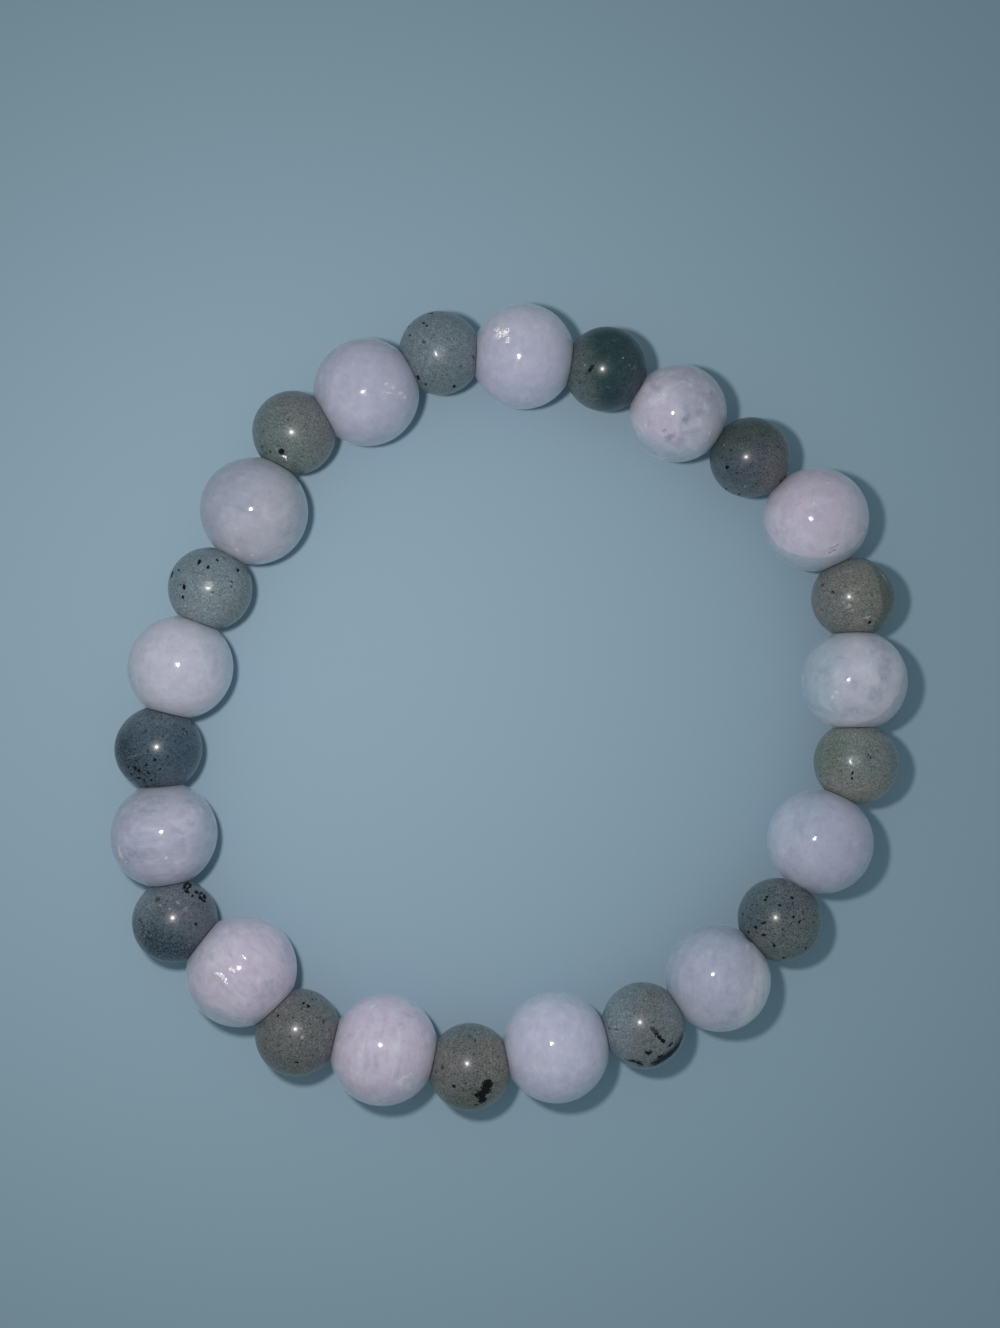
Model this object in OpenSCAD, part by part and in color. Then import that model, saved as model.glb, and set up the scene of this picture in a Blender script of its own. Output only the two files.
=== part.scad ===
// Stretch bracelet: round stone beads, white and grey in turn, on a closed elastic thread.
// It lies flat as it does on a table. The white beads carry it, and the taut thread holds the
// smaller grey beads at the same height.
// Millimetres, +Z up. The origin is on the ground, under the middle of the loop.

/* [Beads] */
// Diameter of a white bead
white_d = 10; // [8:0.5:14]
// Diameter of a grey bead
grey_d = 8; // [7:0.5:12]
// Number of pairs, a white and a grey bead each
pair_count = 13; // [9:1:18]

/* [Joints] */
// Mean width of the worn flats where two beads meet
flat_d = 3.8; // [2:0.2:5]
// Space left between the two flats
flat_gap = 0.1; // [0.1:0.05:0.3]

/* [Thread] */
// Diameter of the elastic thread
thread_d = 0.8; // [0.5:0.1:1]
// Space between the thread and the wall of a bead's bore, all round
bore_clearance = 0.2; // [0.1:0.05:0.4]

/* [Hidden] */
$fn = 96;
thread_sides = 8;
rings_per_bead = 3;

// The loop as it lies, a point for each bead, clockwise from the white bead at the top.
// The loop is scaled as a whole until its length is what the beads need.
route = [
    [1, 33.5],
    [9, 32.4],
    [16, 28.2],
    [23, 24],
    [29.4, 18],
    [33, 10.4],
    [33, 2.4],
    [33.1, -5.5],
    [29.5, -13],
    [25.5, -20.4],
    [19.5, -25.8],
    [12.4, -30.2],
    [4.1, -32.1],
    [-4, -33.8],
    [-12, -32.1],
    [-20, -30.4],
    [-25.2, -24.7],
    [-31.4, -20],
    [-32.5, -12.1],
    [-33.1, -4.1],
    [-31.2, 3.5],
    [-28.5, 10.9],
    [-24.5, 18.3],
    [-20.8, 25.8],
    [-14, 29.8],
    [-7, 33.7],
];

// The stones differ a little. Each row is a pair, and the columns are the share of the white
// bead's diameter and the share of the grey bead's diameter.
pair_shares = [
    [1.00, 1.01],
    [0.94, 0.97],
    [1.01, 0.99],
    [1.00, 1.00],
    [1.00, 0.99],
    [1.00, 1.00],
    [1.01, 0.99],
    [1.01, 0.99],
    [1.02, 0.97],
    [0.98, 1.00],
    [0.98, 0.98],
    [1.02, 0.99],
    [1.02, 0.99],
];

bead_count = 2 * pair_count;
beads = [0 : bead_count - 1];
bore_d = thread_d + 2 * bore_clearance;

function is_white(i) = i % 2 == 0;
function next(i) = (i + 1) % bead_count;
function previous(i) = (i + bead_count - 1) % bead_count;
function total(values, i = 0) = i == len(values) ? 0 : values[i] + total(values, i + 1);

// Radius of each bead
radii = [
    for (i = beads)
        let (shares = pair_shares[floor(i / 2) % len(pair_shares)])
        (is_white(i) ? white_d * shares[0] : grey_d * shares[1]) / 2
];

// All the beads' bores are at this height, so the largest bead rests on the ground
string_z = max(radii);

// A closed smooth curve through the points of the route, where u counts points
function route_point(u) =
    let (
        n = len(route),
        i = floor(u),
        t = u - i,
        a = route[(i + n - 1) % n],
        b = route[i % n],
        c = route[(i + 1) % n],
        d = route[(i + 2) % n]
    )
    b + (c - a) * t / 2 + (2 * a - 5 * b + 4 * c - d) * t ^ 2 / 2 + (3 * b - a - 3 * c + d) * t ^ 3 / 2;

// Where each bead lies before the loop is scaled to the length that the beads need
laid = [for (i = beads) route_point(i * len(route) / bead_count)];
laid_length = total([for (i = beads) norm(laid[next(i)] - laid[i])]);
string_length = total([for (i = beads) 2 * sqrt(radii[i] ^ 2 - (flat_d / 2) ^ 2) + flat_gap]);
sized = laid * string_length / laid_length;

// The middle of the bracelet's outline goes to the origin
outline_middle = [
    for (axis = [0, 1])
        let (
            low = min([for (i = beads) sized[i][axis] - radii[i]]),
            high = max([for (i = beads) sized[i][axis] + radii[i]])
        )
        (low + high) / 2
];
centres = [for (p = sized) p - outline_middle];

// The joint after each bead lies where its round form meets that of the next bead
function toward(a, b) = (b - a) / norm(b - a);
joint_ways = [for (i = beads) toward(centres[i], centres[next(i)])];
joint_reach = [
    for (i = beads)
        let (pitch = norm(centres[next(i)] - centres[i]))
        (pitch ^ 2 + radii[i] ^ 2 - radii[next(i)] ^ 2) / (2 * pitch)
];
joints = [for (i = beads) centres[i] + joint_ways[i] * joint_reach[i]];

// The thread runs straight through each bead, close to its middle, and bends only at the joints.
// It crosses a joint half-way between where the two beads' own middle lines reach it, because the
// grey beads stand out from the loop a little more than the white ones.
middle_ways = [for (i = beads) toward(centres[previous(i)], centres[next(i)])];
function middle_line_at(bead, joint) =
    centres[bead] + middle_ways[bead] * ((joints[joint] - centres[bead]) * joint_ways[joint])
        / (middle_ways[bead] * joint_ways[joint]);
crossings = [for (i = beads) (middle_line_at(i, i) + middle_line_at(next(i), i)) / 2];

function angle_of(way) = atan2(way.y, way.x);

// The half-space past the flat at a joint, as seen from the bead on the given side of it
module beyond_flat(joint, side) {
    block = 2 * max(radii);
    translate([joints[joint].x, joints[joint].y, string_z])
        rotate(angle_of(side * joint_ways[joint]))
            translate([block / 2 - flat_gap / 2, 0, 0])
                cube(block, center = true);
}

// The bore follows the thread's own line, so the thread has the same clearance all along
module bore(i) {
    start = crossings[previous(i)];
    way = crossings[i] - start;
    overrun = radii[i];
    translate([start.x, start.y, string_z])
        rotate(angle_of(way))
            translate([-overrun, 0, 0])
                rotate([0, 90, 0])
                    cylinder(d = bore_d, h = norm(way) + 2 * overrun);
}

module bead(i) {
    color(is_white(i) ? [0.76, 0.76, 0.83] : [0.44, 0.45, 0.44])
        difference() {
            translate([centres[i].x, centres[i].y, string_z])
                rotate(angle_of(middle_ways[i]))
                    rotate([0, 90, 0])
                        sphere(r = radii[i]);
            beyond_flat(i, 1);
            beyond_flat(previous(i), -1);
            bore(i);
        }
}

// The middle of each of the thread's rings
thread_points = [
    for (i = beads, part = [0 : rings_per_bead - 1])
        crossings[previous(i)] + (crossings[i] - crossings[previous(i)]) * part / rings_per_bead
];

module elastic_thread() {
    rings = len(thread_points);
    vertices = [
        for (k = [0 : rings - 1])
            let (way = toward(thread_points[(k + rings - 1) % rings], thread_points[(k + 1) % rings]))
            for (side = [0 : thread_sides - 1])
                let (
                    turn = 360 * side / thread_sides,
                    across = thread_d / 2 * cos(turn),
                    up = thread_d / 2 * sin(turn)
                )
                [
                    thread_points[k].x - way.y * across,
                    thread_points[k].y + way.x * across,
                    string_z + up
                ]
    ];
    faces = [
        for (k = [0 : rings - 1], side = [0 : thread_sides - 1])
            let (
                here = k * thread_sides,
                ahead = (k + 1) % rings * thread_sides,
                beside = (side + 1) % thread_sides
            )
            each [
                [here + side, ahead + side, ahead + beside],
                [here + side, ahead + beside, here + beside]
            ]
    ];
    color([0.88, 0.9, 0.9])
        polyhedron(points = vertices, faces = faces, convexity = 4);
}

function two_digits(number) = str(number < 10 ? "0" : "", number);
function bead_name(i) = str(is_white(i) ? "white_bead_" : "grey_bead_", two_digits(floor(i / 2) + 1));

for (i = beads)
    bead(i);
elastic_thread();
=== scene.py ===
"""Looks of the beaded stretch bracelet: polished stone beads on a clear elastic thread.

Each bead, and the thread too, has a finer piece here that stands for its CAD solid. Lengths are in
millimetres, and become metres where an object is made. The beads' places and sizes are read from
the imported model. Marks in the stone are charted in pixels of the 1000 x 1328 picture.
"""

import math
from dataclasses import dataclass
from typing import NamedTuple

import bpy
import numpy as np
from mathutils import Matrix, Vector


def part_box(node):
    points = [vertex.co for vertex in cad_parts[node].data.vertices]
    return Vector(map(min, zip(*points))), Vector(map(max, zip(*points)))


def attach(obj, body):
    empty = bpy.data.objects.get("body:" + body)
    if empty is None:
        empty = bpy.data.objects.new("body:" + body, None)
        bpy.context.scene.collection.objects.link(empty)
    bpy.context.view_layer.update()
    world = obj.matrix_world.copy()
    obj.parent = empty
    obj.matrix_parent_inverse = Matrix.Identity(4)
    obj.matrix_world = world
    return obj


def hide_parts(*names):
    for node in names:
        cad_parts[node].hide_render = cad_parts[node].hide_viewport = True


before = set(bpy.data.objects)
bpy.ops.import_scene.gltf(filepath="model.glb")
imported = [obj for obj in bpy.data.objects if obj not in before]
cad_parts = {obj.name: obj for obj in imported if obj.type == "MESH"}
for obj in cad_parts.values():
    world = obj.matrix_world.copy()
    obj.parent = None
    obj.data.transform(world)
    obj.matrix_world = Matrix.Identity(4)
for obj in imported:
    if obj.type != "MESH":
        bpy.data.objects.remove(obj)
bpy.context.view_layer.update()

METRE = 1000.0
UP = np.array([0.0, 0.0, 1.0])

PICTURE_WIDTH = 1000
PICTURE_HEIGHT = 1328
LENS = 33.0
SENSOR_LONG_SIDE = 36.0
FOCAL_PIXELS = LENS / SENSOR_LONG_SIDE * PICTURE_HEIGHT
PIXEL = 0.095  # width of a pixel at the beads

CAMERA_PLACE = np.array([-7.832, -1.576, 121.283])
CAMERA_AIM = np.array([-1.239, 3.782, 0.0])
CAMERA_UP = np.array([-0.001, 1.0, 0.0])
CLIP_START = 5.0

KEY_PLACE = (-22.0, 6.6, 100.0)
KEY_DIAMETER = 8.0
KEY_WATTS = 0.0447
KEY_COLOUR = (1.0, 0.95, 0.94)
SKY_COLOUR = (0.75, 0.95, 1.0)
SKY_STRENGTH = 0.238
FLOOR_COLOUR = (0.41, 0.56, 0.67)
FLOOR_SIDE = 3000.0

PAIR_COUNT = 13
SEEN_GAP = 0.02  # between the finer pieces' flats
BORE_RADIUS = 0.6
THREAD_RADIUS = 0.4
UPPER_PART = 0.3  # a ball's corners above this share of its radius are clear of its bore


def unit(vector):
    return vector / np.linalg.norm(vector)


def metres(points):
    return np.asarray(points) / METRE


# Camera


VIEW_BACK = unit(CAMERA_PLACE - CAMERA_AIM)
VIEW_RIGHT = unit(np.cross(CAMERA_UP, VIEW_BACK))
VIEW_UP = np.cross(VIEW_BACK, VIEW_RIGHT)


def make_camera():
    data = bpy.data.cameras.new("camera")
    data.lens = LENS
    data.sensor_width = SENSOR_LONG_SIDE
    data.clip_start = CLIP_START / METRE
    camera = bpy.data.objects.new("camera", data)
    axes = np.identity(4)
    axes[:3, 0] = VIEW_RIGHT
    axes[:3, 1] = VIEW_UP
    axes[:3, 2] = VIEW_BACK
    axes[:3, 3] = metres(CAMERA_PLACE)
    camera.matrix_world = Matrix(axes.tolist())
    bpy.context.collection.objects.link(camera)
    bpy.context.scene.camera = camera


def ray_through(x, y):
    """Direction from the camera through a pixel of the picture."""
    across = VIEW_RIGHT * (x - PICTURE_WIDTH / 2)
    upward = VIEW_UP * (PICTURE_HEIGHT / 2 - y)
    return unit(across + upward - VIEW_BACK * FOCAL_PIXELS)


# Stage


def make_lights():
    key = bpy.data.lights.new("key", "AREA")
    key.shape = "DISK"
    key.size = KEY_DIAMETER / METRE
    key.energy = KEY_WATTS
    key.color = KEY_COLOUR
    lamp = bpy.data.objects.new("key", key)
    lamp.location = metres(KEY_PLACE)
    lamp.visible_camera = False
    bpy.context.collection.objects.link(lamp)

    sky = bpy.data.worlds.new("sky")
    sky.use_nodes = True
    background = sky.node_tree.nodes["Background"]
    background.inputs["Color"].default_value = (*SKY_COLOUR, 1)
    background.inputs["Strength"].default_value = SKY_STRENGTH
    bpy.context.scene.world = sky


def make_floor():
    half = FLOOR_SIDE / 2 / METRE
    corners = [(-half, -half, 0), (half, -half, 0), (half, half, 0), (-half, half, 0)]
    mesh = bpy.data.meshes.new("floor")
    mesh.from_pydata(corners, [], [(0, 1, 2, 3)])
    shader = Shader("floor")
    shader.set("Base Color", (*FLOOR_COLOUR, 1))
    shader.set("Roughness", 0.9)
    shader.set("Specular IOR Level", 0.1)
    mesh.materials.append(shader.material)
    floor = bpy.data.objects.new("floor", mesh)
    bpy.context.collection.objects.link(floor)


# Layout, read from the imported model


@dataclass
class End:
    """The flat where a bead meets the next one."""

    normal: np.ndarray
    reach: float  # from the bead's middle to the flat


@dataclass
class Bead:
    number: int
    node: str
    centre: np.ndarray
    radius: float
    start: End = None
    end: End = None
    bore_point: np.ndarray = None  # where the thread's line passes the bead's middle
    bore_way: np.ndarray = None

    @property
    def white(self):
        return self.number % 2 == 1


def node_name(number):
    colour = "white" if number % 2 == 1 else "grey"
    return f"{colour}_bead_{(number + 1) // 2:02d}"


def read_bead(number):
    """The ball that a bead was cut from, found from the corners of its solid's upper part."""
    name = node_name(number)
    low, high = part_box(name)
    radius = (high.z - low.z) / 2 * METRE
    height = (high.z + low.z) / 2 * METRE
    corners = np.array([corner.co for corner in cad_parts[name].data.vertices]) * METRE
    upper = corners[corners[:, 2] > height + UPPER_PART * radius] - [0, 0, height]
    equations = np.column_stack([2 * upper[:, :2], np.ones(len(upper))])
    answer = np.linalg.lstsq(equations, (upper**2).sum(axis=1), rcond=None)[0]
    return Bead(number, name, np.array([answer[0], answer[1], height]), radius)


def read_layout():
    """All the beads, and the points where the thread bends at the joint after each bead."""
    beads = [read_bead(number) for number in range(1, 2 * PAIR_COUNT + 1)]
    count = len(beads)
    joints, crossings = [], []
    for i, bead in enumerate(beads):
        ahead = beads[(i + 1) % count]
        gap = ahead.centre - bead.centre
        pitch = np.linalg.norm(gap)
        reach = (pitch**2 + bead.radius**2 - ahead.radius**2) / (2 * pitch)
        bead.end = End(gap / pitch, reach - SEEN_GAP / 2)
        ahead.start = End(-gap / pitch, pitch - reach - SEEN_GAP / 2)
        joints.append(bead.centre + gap / pitch * reach)
    for i, bead in enumerate(beads):
        ahead = beads[(i + 1) % count]
        sides = []
        for side, before, after in ((bead, i - 1, i + 1), (ahead, i, i + 2)):
            middle_way = unit(beads[after % count].centre - beads[before].centre)
            share = (joints[i] - side.centre) @ bead.end.normal / (middle_way @ bead.end.normal)
            sides.append(side.centre + middle_way * share)
        crossings.append((sides[0] + sides[1]) / 2)
    for i, bead in enumerate(beads):
        bead.bore_way = unit(crossings[i] - crossings[i - 1])
        offset = crossings[i - 1] - bead.centre
        bead.bore_point = offset - bead.bore_way * (offset @ bead.bore_way)
    return beads, crossings


def spot_on(bead, x, y):
    """Where a pixel of the picture falls on a bead, from the bead's middle."""
    ray = ray_through(x, y)
    from_centre = CAMERA_PLACE - bead.centre
    nearest = -(from_centre @ ray)
    depth = bead.radius**2 - from_centre @ from_centre + nearest**2
    point = from_centre + ray * (nearest - math.sqrt(max(depth, 0.0)))
    return unit(point) * bead.radius


def seen_axes(bead):
    """Directions to the right, up and towards the camera, as the bead shows in the picture."""
    back = unit(CAMERA_PLACE - bead.centre)
    right = unit(np.cross(VIEW_UP, back))
    return right, np.cross(back, right), back


# Shapes


AROUND = 120
FLAT_STEPS = 6
RIM_STEPS = 3
DOME_STEPS = 44
BORE_STEPS = 6
MOUTH_CHAMFER = 0.1
RIM_WIDTH = 0.035
RIM_WEAR = 0.22
RIM_WEAR_WAVES = (2, 3, 5, 8, 13)
RIM_WEAR_LIMITS = (0.35, 2.0)
WAVE_HEIGHT = 0.018
WAVE_COUNT = 7
WAVE_TIGHTNESS = (4, 11)
SEED = 100


def slerp(a, b, share):
    """Directions part of the way from a to b, for arrays of unit vectors."""
    angle = np.arccos(np.clip((a * b).sum(axis=1), -1, 1))[:, None]
    return (np.sin((1 - share) * angle) * a + np.sin(share * angle) * b) / np.sin(angle)


def turned(side, turns):
    """A unit vector for each turn, from side at 0 and up at a quarter turn."""
    return np.cos(turns)[:, None] * side + np.sin(turns)[:, None] * UP


def mouth_ring(bead, end, turns, radius):
    """Points of the bore's wall in the plane of a flat."""
    side = np.cross(UP, bead.bore_way)
    wall = bead.bore_point + radius * turned(side, turns)
    along = (end.reach - wall @ end.normal) / (bead.bore_way @ end.normal)
    return wall + along[:, None] * bead.bore_way


def worn_width(turns, chance):
    """Width of the rounding of a flat's rim, which is worn unevenly."""
    width = np.ones_like(turns)
    for waves in RIM_WEAR_WAVES:
        width += RIM_WEAR * np.sin(waves * turns + chance.uniform(0, 2 * np.pi))
    return RIM_WIDTH * np.clip(width, *RIM_WEAR_LIMITS)


def end_rings(bead, end, turns, chance):
    """Rings from the bore's mouth over a flat and round its rim on to the ball."""
    side = np.cross(UP, bead.bore_way)
    across = np.cross(UP, end.normal)
    around = turned(across * math.copysign(1, across @ side), turns)
    rim = math.acos(end.reach / bead.radius)
    rim_radius = bead.radius * math.sin(rim)
    width = worn_width(turns, chance)[:, None]
    centre = end.normal * end.reach
    mouth = mouth_ring(bead, end, turns, BORE_RADIUS + MOUTH_CHAMFER)
    inner = centre + (rim_radius - width) * around
    corner = centre + rim_radius * around
    beyond = rim + width / bead.radius
    outer = bead.radius * (np.cos(beyond) * end.normal + np.sin(beyond) * around)
    rings = [mouth + (inner - mouth) * share for share in np.linspace(0, 1, FLAT_STEPS + 1)[:-1]]
    for t in np.linspace(0, 1, RIM_STEPS + 1):
        rings.append((1 - t) ** 2 * inner + 2 * t * (1 - t) * corner + t**2 * outer)
    return rings


def wave(directions, chance):
    """A smooth unevenness of the polished ball, from -1 to 1."""
    height = np.zeros(len(directions))
    for _ in range(WAVE_COUNT):
        way = unit(chance.normal(size=3)) * chance.uniform(*WAVE_TIGHTNESS)
        height += np.sin(directions @ way + chance.uniform(0, 2 * np.pi))
    return height / WAVE_COUNT


def pressed(points, bead, dents):
    """The points pushed in where the stone has a dent or chip."""
    directions = points / np.linalg.norm(points, axis=1)[:, None]
    for x, y, width, depth in dents:
        away = np.linalg.norm(points - spot_on(bead, x, y), axis=1) / (width * PIXEL / 2)
        bowl = np.clip(1 - away**2, 0, 1) ** 2
        points = points - directions * (depth * bowl)[:, None]
    return points


def bead_rings(bead, dents):
    """Rings round a bead's bore: over the outside from start to end, then back through the bore."""
    chance = np.random.default_rng(SEED + bead.number)
    turns = np.linspace(0, 2 * np.pi, AROUND, endpoint=False)
    side = np.cross(UP, bead.bore_way)
    equator = turned(side, turns)
    first = end_rings(bead, bead.start, turns, chance)
    last = end_rings(bead, bead.end, turns, chance)[::-1]
    dome = []
    shares = np.linspace(0, 1, DOME_STEPS + 1)
    for share in shares[1:]:
        dome.append(bead.radius * slerp(first[-1] / bead.radius, equator, share))
    for share in shares[1:-1]:
        dome.append(bead.radius * slerp(equator, last[0] / bead.radius, share))
    outside = np.concatenate(first + dome + last)
    directions = outside / np.linalg.norm(outside, axis=1)[:, None]
    lowered = WAVE_HEIGHT * (1 + wave(directions, chance))
    outside = pressed(outside - directions * lowered[:, None], bead, dents)
    start = mouth_ring(bead, bead.start, turns, BORE_RADIUS) + MOUTH_CHAMFER * bead.bore_way
    end = mouth_ring(bead, bead.end, turns, BORE_RADIUS) - MOUTH_CHAMFER * bead.bore_way
    wall = [end + (start - end) * share for share in np.linspace(0, 1, BORE_STEPS + 1)]
    return np.concatenate([outside, *wall])


def tube_mesh(name, points, around):
    """A closed mesh of rings, each of so many points, where the last ring joins the first."""
    count = len(points) // around
    ring, step = np.meshgrid(np.arange(count), np.arange(around), indexing="ij")
    here, ahead = ring * around, (ring + 1) % count * around
    beside = (step + 1) % around
    faces = np.stack([here + step, ahead + step, ahead + beside, here + beside], axis=-1)
    mesh = bpy.data.meshes.new(name)
    mesh.from_pydata(metres(points).tolist(), [], faces.reshape(-1, 4).tolist())
    mesh.polygons.foreach_set("use_smooth", np.ones(len(mesh.polygons), bool))
    return mesh


def add_piece(mesh, material, place, node):
    mesh.materials.append(material)
    piece = bpy.data.objects.new(mesh.name, mesh)
    piece.location = metres(place)
    bpy.context.collection.objects.link(piece)
    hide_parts(node)
    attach(piece, "root")


# Shader nodes


WOBBLE = 0.35  # how far a noise shifts the edge of a zone, as a share of the radius
NOISE_RANGE = (0.25, 0.75)  # most of a noise lies between these
MARK_DEPTH = 1.6  # how far a mark reaches into the stone, as a share of its larger radius
MIX_COLOUR_INPUTS = (0, 6, 7)
MIX_COLOUR_OUTPUT = 2


class Shader:
    """Adds nodes to one material. A method that adds nodes gives back the output of the last one."""

    def __init__(self, name):
        self.material = bpy.data.materials.new(name)
        self.material.use_nodes = True
        self.nodes = self.material.node_tree.nodes
        self.surface = self.nodes["Principled BSDF"]
        self.shaken_places = {}

    def feed(self, socket, value):
        if isinstance(value, bpy.types.NodeSocket):
            self.material.node_tree.links.new(value, socket)
        else:
            socket.default_value = value

    def set(self, name, value):
        self.feed(self.surface.inputs[name], value)

    def add(self, kind, output, values, **settings):
        node = self.nodes.new(kind)
        for name, value in settings.items():
            setattr(node, name, value)
        for key, value in values.items():
            self.feed(node.inputs[key], value)
        return node.outputs[output]

    def millimetres(self, shift=0.0):
        """The place in the piece, from its middle."""
        place = self.add("ShaderNodeTexCoord", "Object", {})
        settings = {"Vector": place, "Scale": (METRE,) * 3, "Location": (shift,) * 3}
        return self.add("ShaderNodeMapping", "Vector", settings)

    def math(self, operation, a, b=0.0):
        return self.add("ShaderNodeMath", 0, {0: a, 1: b}, operation=operation, use_clamp=True)

    def step(self, value, low, high, top=1.0):
        """Goes smoothly from 0 where the value is low to top where it is high."""
        limits = {"Value": value, "From Min": low, "From Max": high, "To Max": top}
        return self.add("ShaderNodeMapRange", 0, limits, interpolation_type="SMOOTHSTEP")

    def mix(self, amount, a, b):
        """Goes from colour a to colour b as the amount goes from 0 to 1."""
        node = self.nodes.new("ShaderNodeMix")
        node.data_type = "RGBA"
        amount_socket, a_socket, b_socket = (node.inputs[key] for key in MIX_COLOUR_INPUTS)
        self.feed(amount_socket, amount)
        self.feed(a_socket, a)
        self.feed(b_socket, b)
        return node.outputs[MIX_COLOUR_OUTPUT]

    def lit(self, stone, noise, low, high, least, most):
        """The colour times a factor, from least where the noise is low to most where it is high."""
        span = {"From Min": low, "From Max": high, "To Min": least, "To Max": most}
        factor = self.add("ShaderNodeMapRange", 0, {"Value": noise, **span})
        return self.add("ShaderNodeHueSaturation", 0, {"Value": factor, "Color": stone})

    def shaded(self, stone, noise, amount):
        """The colour, made lighter and darker by a noise."""
        return self.lit(stone, noise, *NOISE_RANGE, 1 - amount, 1 + amount)

    def noise(self, place, scale, detail=2.0, roughness=0.5, distortion=0.0, output="Fac"):
        values = {"Vector": place, "Scale": scale, "Detail": detail, "Roughness": roughness}
        return self.add("ShaderNodeTexNoise", output, {**values, "Distortion": distortion})

    def stretched(self, place, angle, length):
        """The place, drawn out along a direction in the picture, so that noise becomes fibres."""
        turn = {"Vector": place, "Rotation": (0, 0, math.radians(angle)), "Scale": (length, 1, 1)}
        return self.add("ShaderNodeMapping", "Vector", turn, vector_type="TEXTURE")

    def centred(self, noise):
        """A colour noise as a direction, with its values moved from around a half to around zero."""
        middle = {0: noise, 1: (0.5,) * 3}
        return self.add("ShaderNodeVectorMath", 0, middle, operation="SUBTRACT")

    def warped(self, place, scale, amount):
        """The place, shaken a little, so that charted marks get uneven outlines."""
        key = (place.node.name, scale, amount)
        if key not in self.shaken_places:
            shake = self.centred(self.noise(place, scale, detail=3.0, output="Color"))
            scaled = {0: shake, "Scale": amount}
            moved = self.add("ShaderNodeVectorMath", 0, scaled, operation="SCALE")
            moved = self.add("ShaderNodeVectorMath", 0, {0: place, 1: moved}, operation="ADD")
            self.shaken_places[key] = moved
        return self.shaken_places[key]

    def marks(self, place, bead, charted, soft):
        """1 inside the charted marks and 0 outside, with edges as soft as a share of their size."""
        cover = None
        for mark in (Mark(*values) for values in charted):
            half_length = mark.length * PIXEL / 2
            half_width = (mark.width or mark.length) * PIXEL / 2
            oval = {
                "Vector": place,
                "Location": spot_on(bead, mark.x, mark.y).tolist(),
                "Rotation": (0, 0, math.radians(mark.angle)),
                "Scale": (half_length, half_width, MARK_DEPTH * max(half_length, half_width)),
            }
            inside = self.add("ShaderNodeMapping", "Vector", oval, vector_type="TEXTURE")
            away = self.add("ShaderNodeVectorMath", "Value", {0: inside}, operation="LENGTH")
            part = self.step(away, 1 + soft, 1 - soft)
            cover = part if cover is None else self.math("MAXIMUM", cover, part)
        return cover

    def specks(self, place, scale, size, share):
        """1 in small round dots, which a share of the cells of this scale have."""
        values = {"Vector": place, "Scale": scale}
        away = self.add("ShaderNodeTexVoronoi", "Distance", values)
        chance = self.add("ShaderNodeTexVoronoi", "Color", values)
        dots = self.step(away, size, size / 2)
        return self.math("MULTIPLY", dots, self.step(chance, share, share - 0.05))

    def side(self, place, bead, zone, wobble):
        """1 on the part of a bead that lies towards the zone's direction, up to an uneven edge."""
        level = math.cos(math.radians(zone.tilt))
        drop = math.sin(math.radians(zone.tilt))
        turn = math.radians(zone.angle)
        right, upward, back = seen_axes(bead)
        way = (math.cos(turn) * right + math.sin(turn) * upward) * level - back * drop
        across = {0: place, 1: (way / bead.radius).tolist()}
        along = self.add("ShaderNodeVectorMath", "Value", across, operation="DOT_PRODUCT")
        uneven = {0: wobble, 1: WOBBLE, 2: along}
        shaken = self.add("ShaderNodeMath", 0, uneven, operation="MULTIPLY_ADD")
        edge = zone.start * level - math.sqrt(1 - zone.start**2) * drop + WOBBLE / 2
        return self.step(shaken, edge - zone.soft, edge + zone.soft)

    def bump(self, height, depth, normal=None):
        values = {"Height": height, "Distance": depth / METRE, "Strength": 1.0}
        if normal is not None:
            values["Normal"] = normal
        return self.add("ShaderNodeBump", 0, values)


def colour(red, green, blue, light=1.0):
    return (red * light, green * light, blue * light, 1.0)


# Stones


# Colours of the white stone, then of the grey stone, then of marks in them

LAVENDER = (0.58, 0.57, 0.71)
COOL = (0.50, 0.55, 0.68)
PINKISH = (0.665, 0.585, 0.71)
CREAM = (0.62, 0.61, 0.71)
MILK = (0.78, 0.78, 0.87)
VEIL = (0.35, 0.37, 0.46)
VEIN = (0.27, 0.26, 0.32)
# Glassy tint of the see-through white stone. Where zones lay it at the rims, it also stands for painted
# bounce light from the floor.
GLASSY_AND_BOUNCE_LIGHT = (0.42, 0.53, 0.60)
MAUVE = (0.49, 0.46, 0.55)

OLIVE = (0.130, 0.155, 0.120)
MOSS = (0.070, 0.098, 0.080)
GREENISH = (0.150, 0.193, 0.187)
DARK_GREEN = (0.024, 0.067, 0.075)
BLUE_GREY = (0.080, 0.115, 0.145)
STEEL = (0.067, 0.108, 0.150)
BLUE_BLACK = (0.018, 0.030, 0.048)
COOL_GREY = (0.198, 0.250, 0.284)
PALE_GREY = (0.255, 0.304, 0.325)
PURPLE_GREY = (0.108, 0.121, 0.147)
WARM_GREY = (0.171, 0.172, 0.172)
TAN = (0.215, 0.210, 0.188)

CRACK = (0.175, 0.185, 0.230)
PINK_SPOT = (0.38, 0.26, 0.23)
NIGHT = (0.004, 0.008, 0.018)
BLACK = (0.002, 0.003, 0.004)
PALE = (0.80, 0.82, 0.84)
FLECK_AND_GLINT = (0.880, 0.902, 0.924)
GLINT = (1.0, 0.96, 0.95)


class Mark(NamedTuple):
    """A spot in the stone, in pixels of the picture. The angle runs anticlockwise from the right."""

    x: float
    y: float
    length: float
    width: float = None  # as the length, if left out
    angle: float = 0.0


@dataclass
class Zone:
    """A part of a bead with another colour. It starts at a share of the radius, as seen."""

    tint: tuple
    angle: float  # anticlockwise from the right
    start: float
    soft: float = 0.25
    tilt: float = 0.0  # turns the edge from straight to round
    amount: float = 1.0


class Layer(NamedTuple):
    """How one kind of charted mark is laid over the stone."""

    tint: tuple
    shake_scale: float  # of the noise that makes the marks' outlines uneven
    shake: float  # how far it moves them, in millimetres
    soft: float
    amount: float = 1.0


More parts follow.
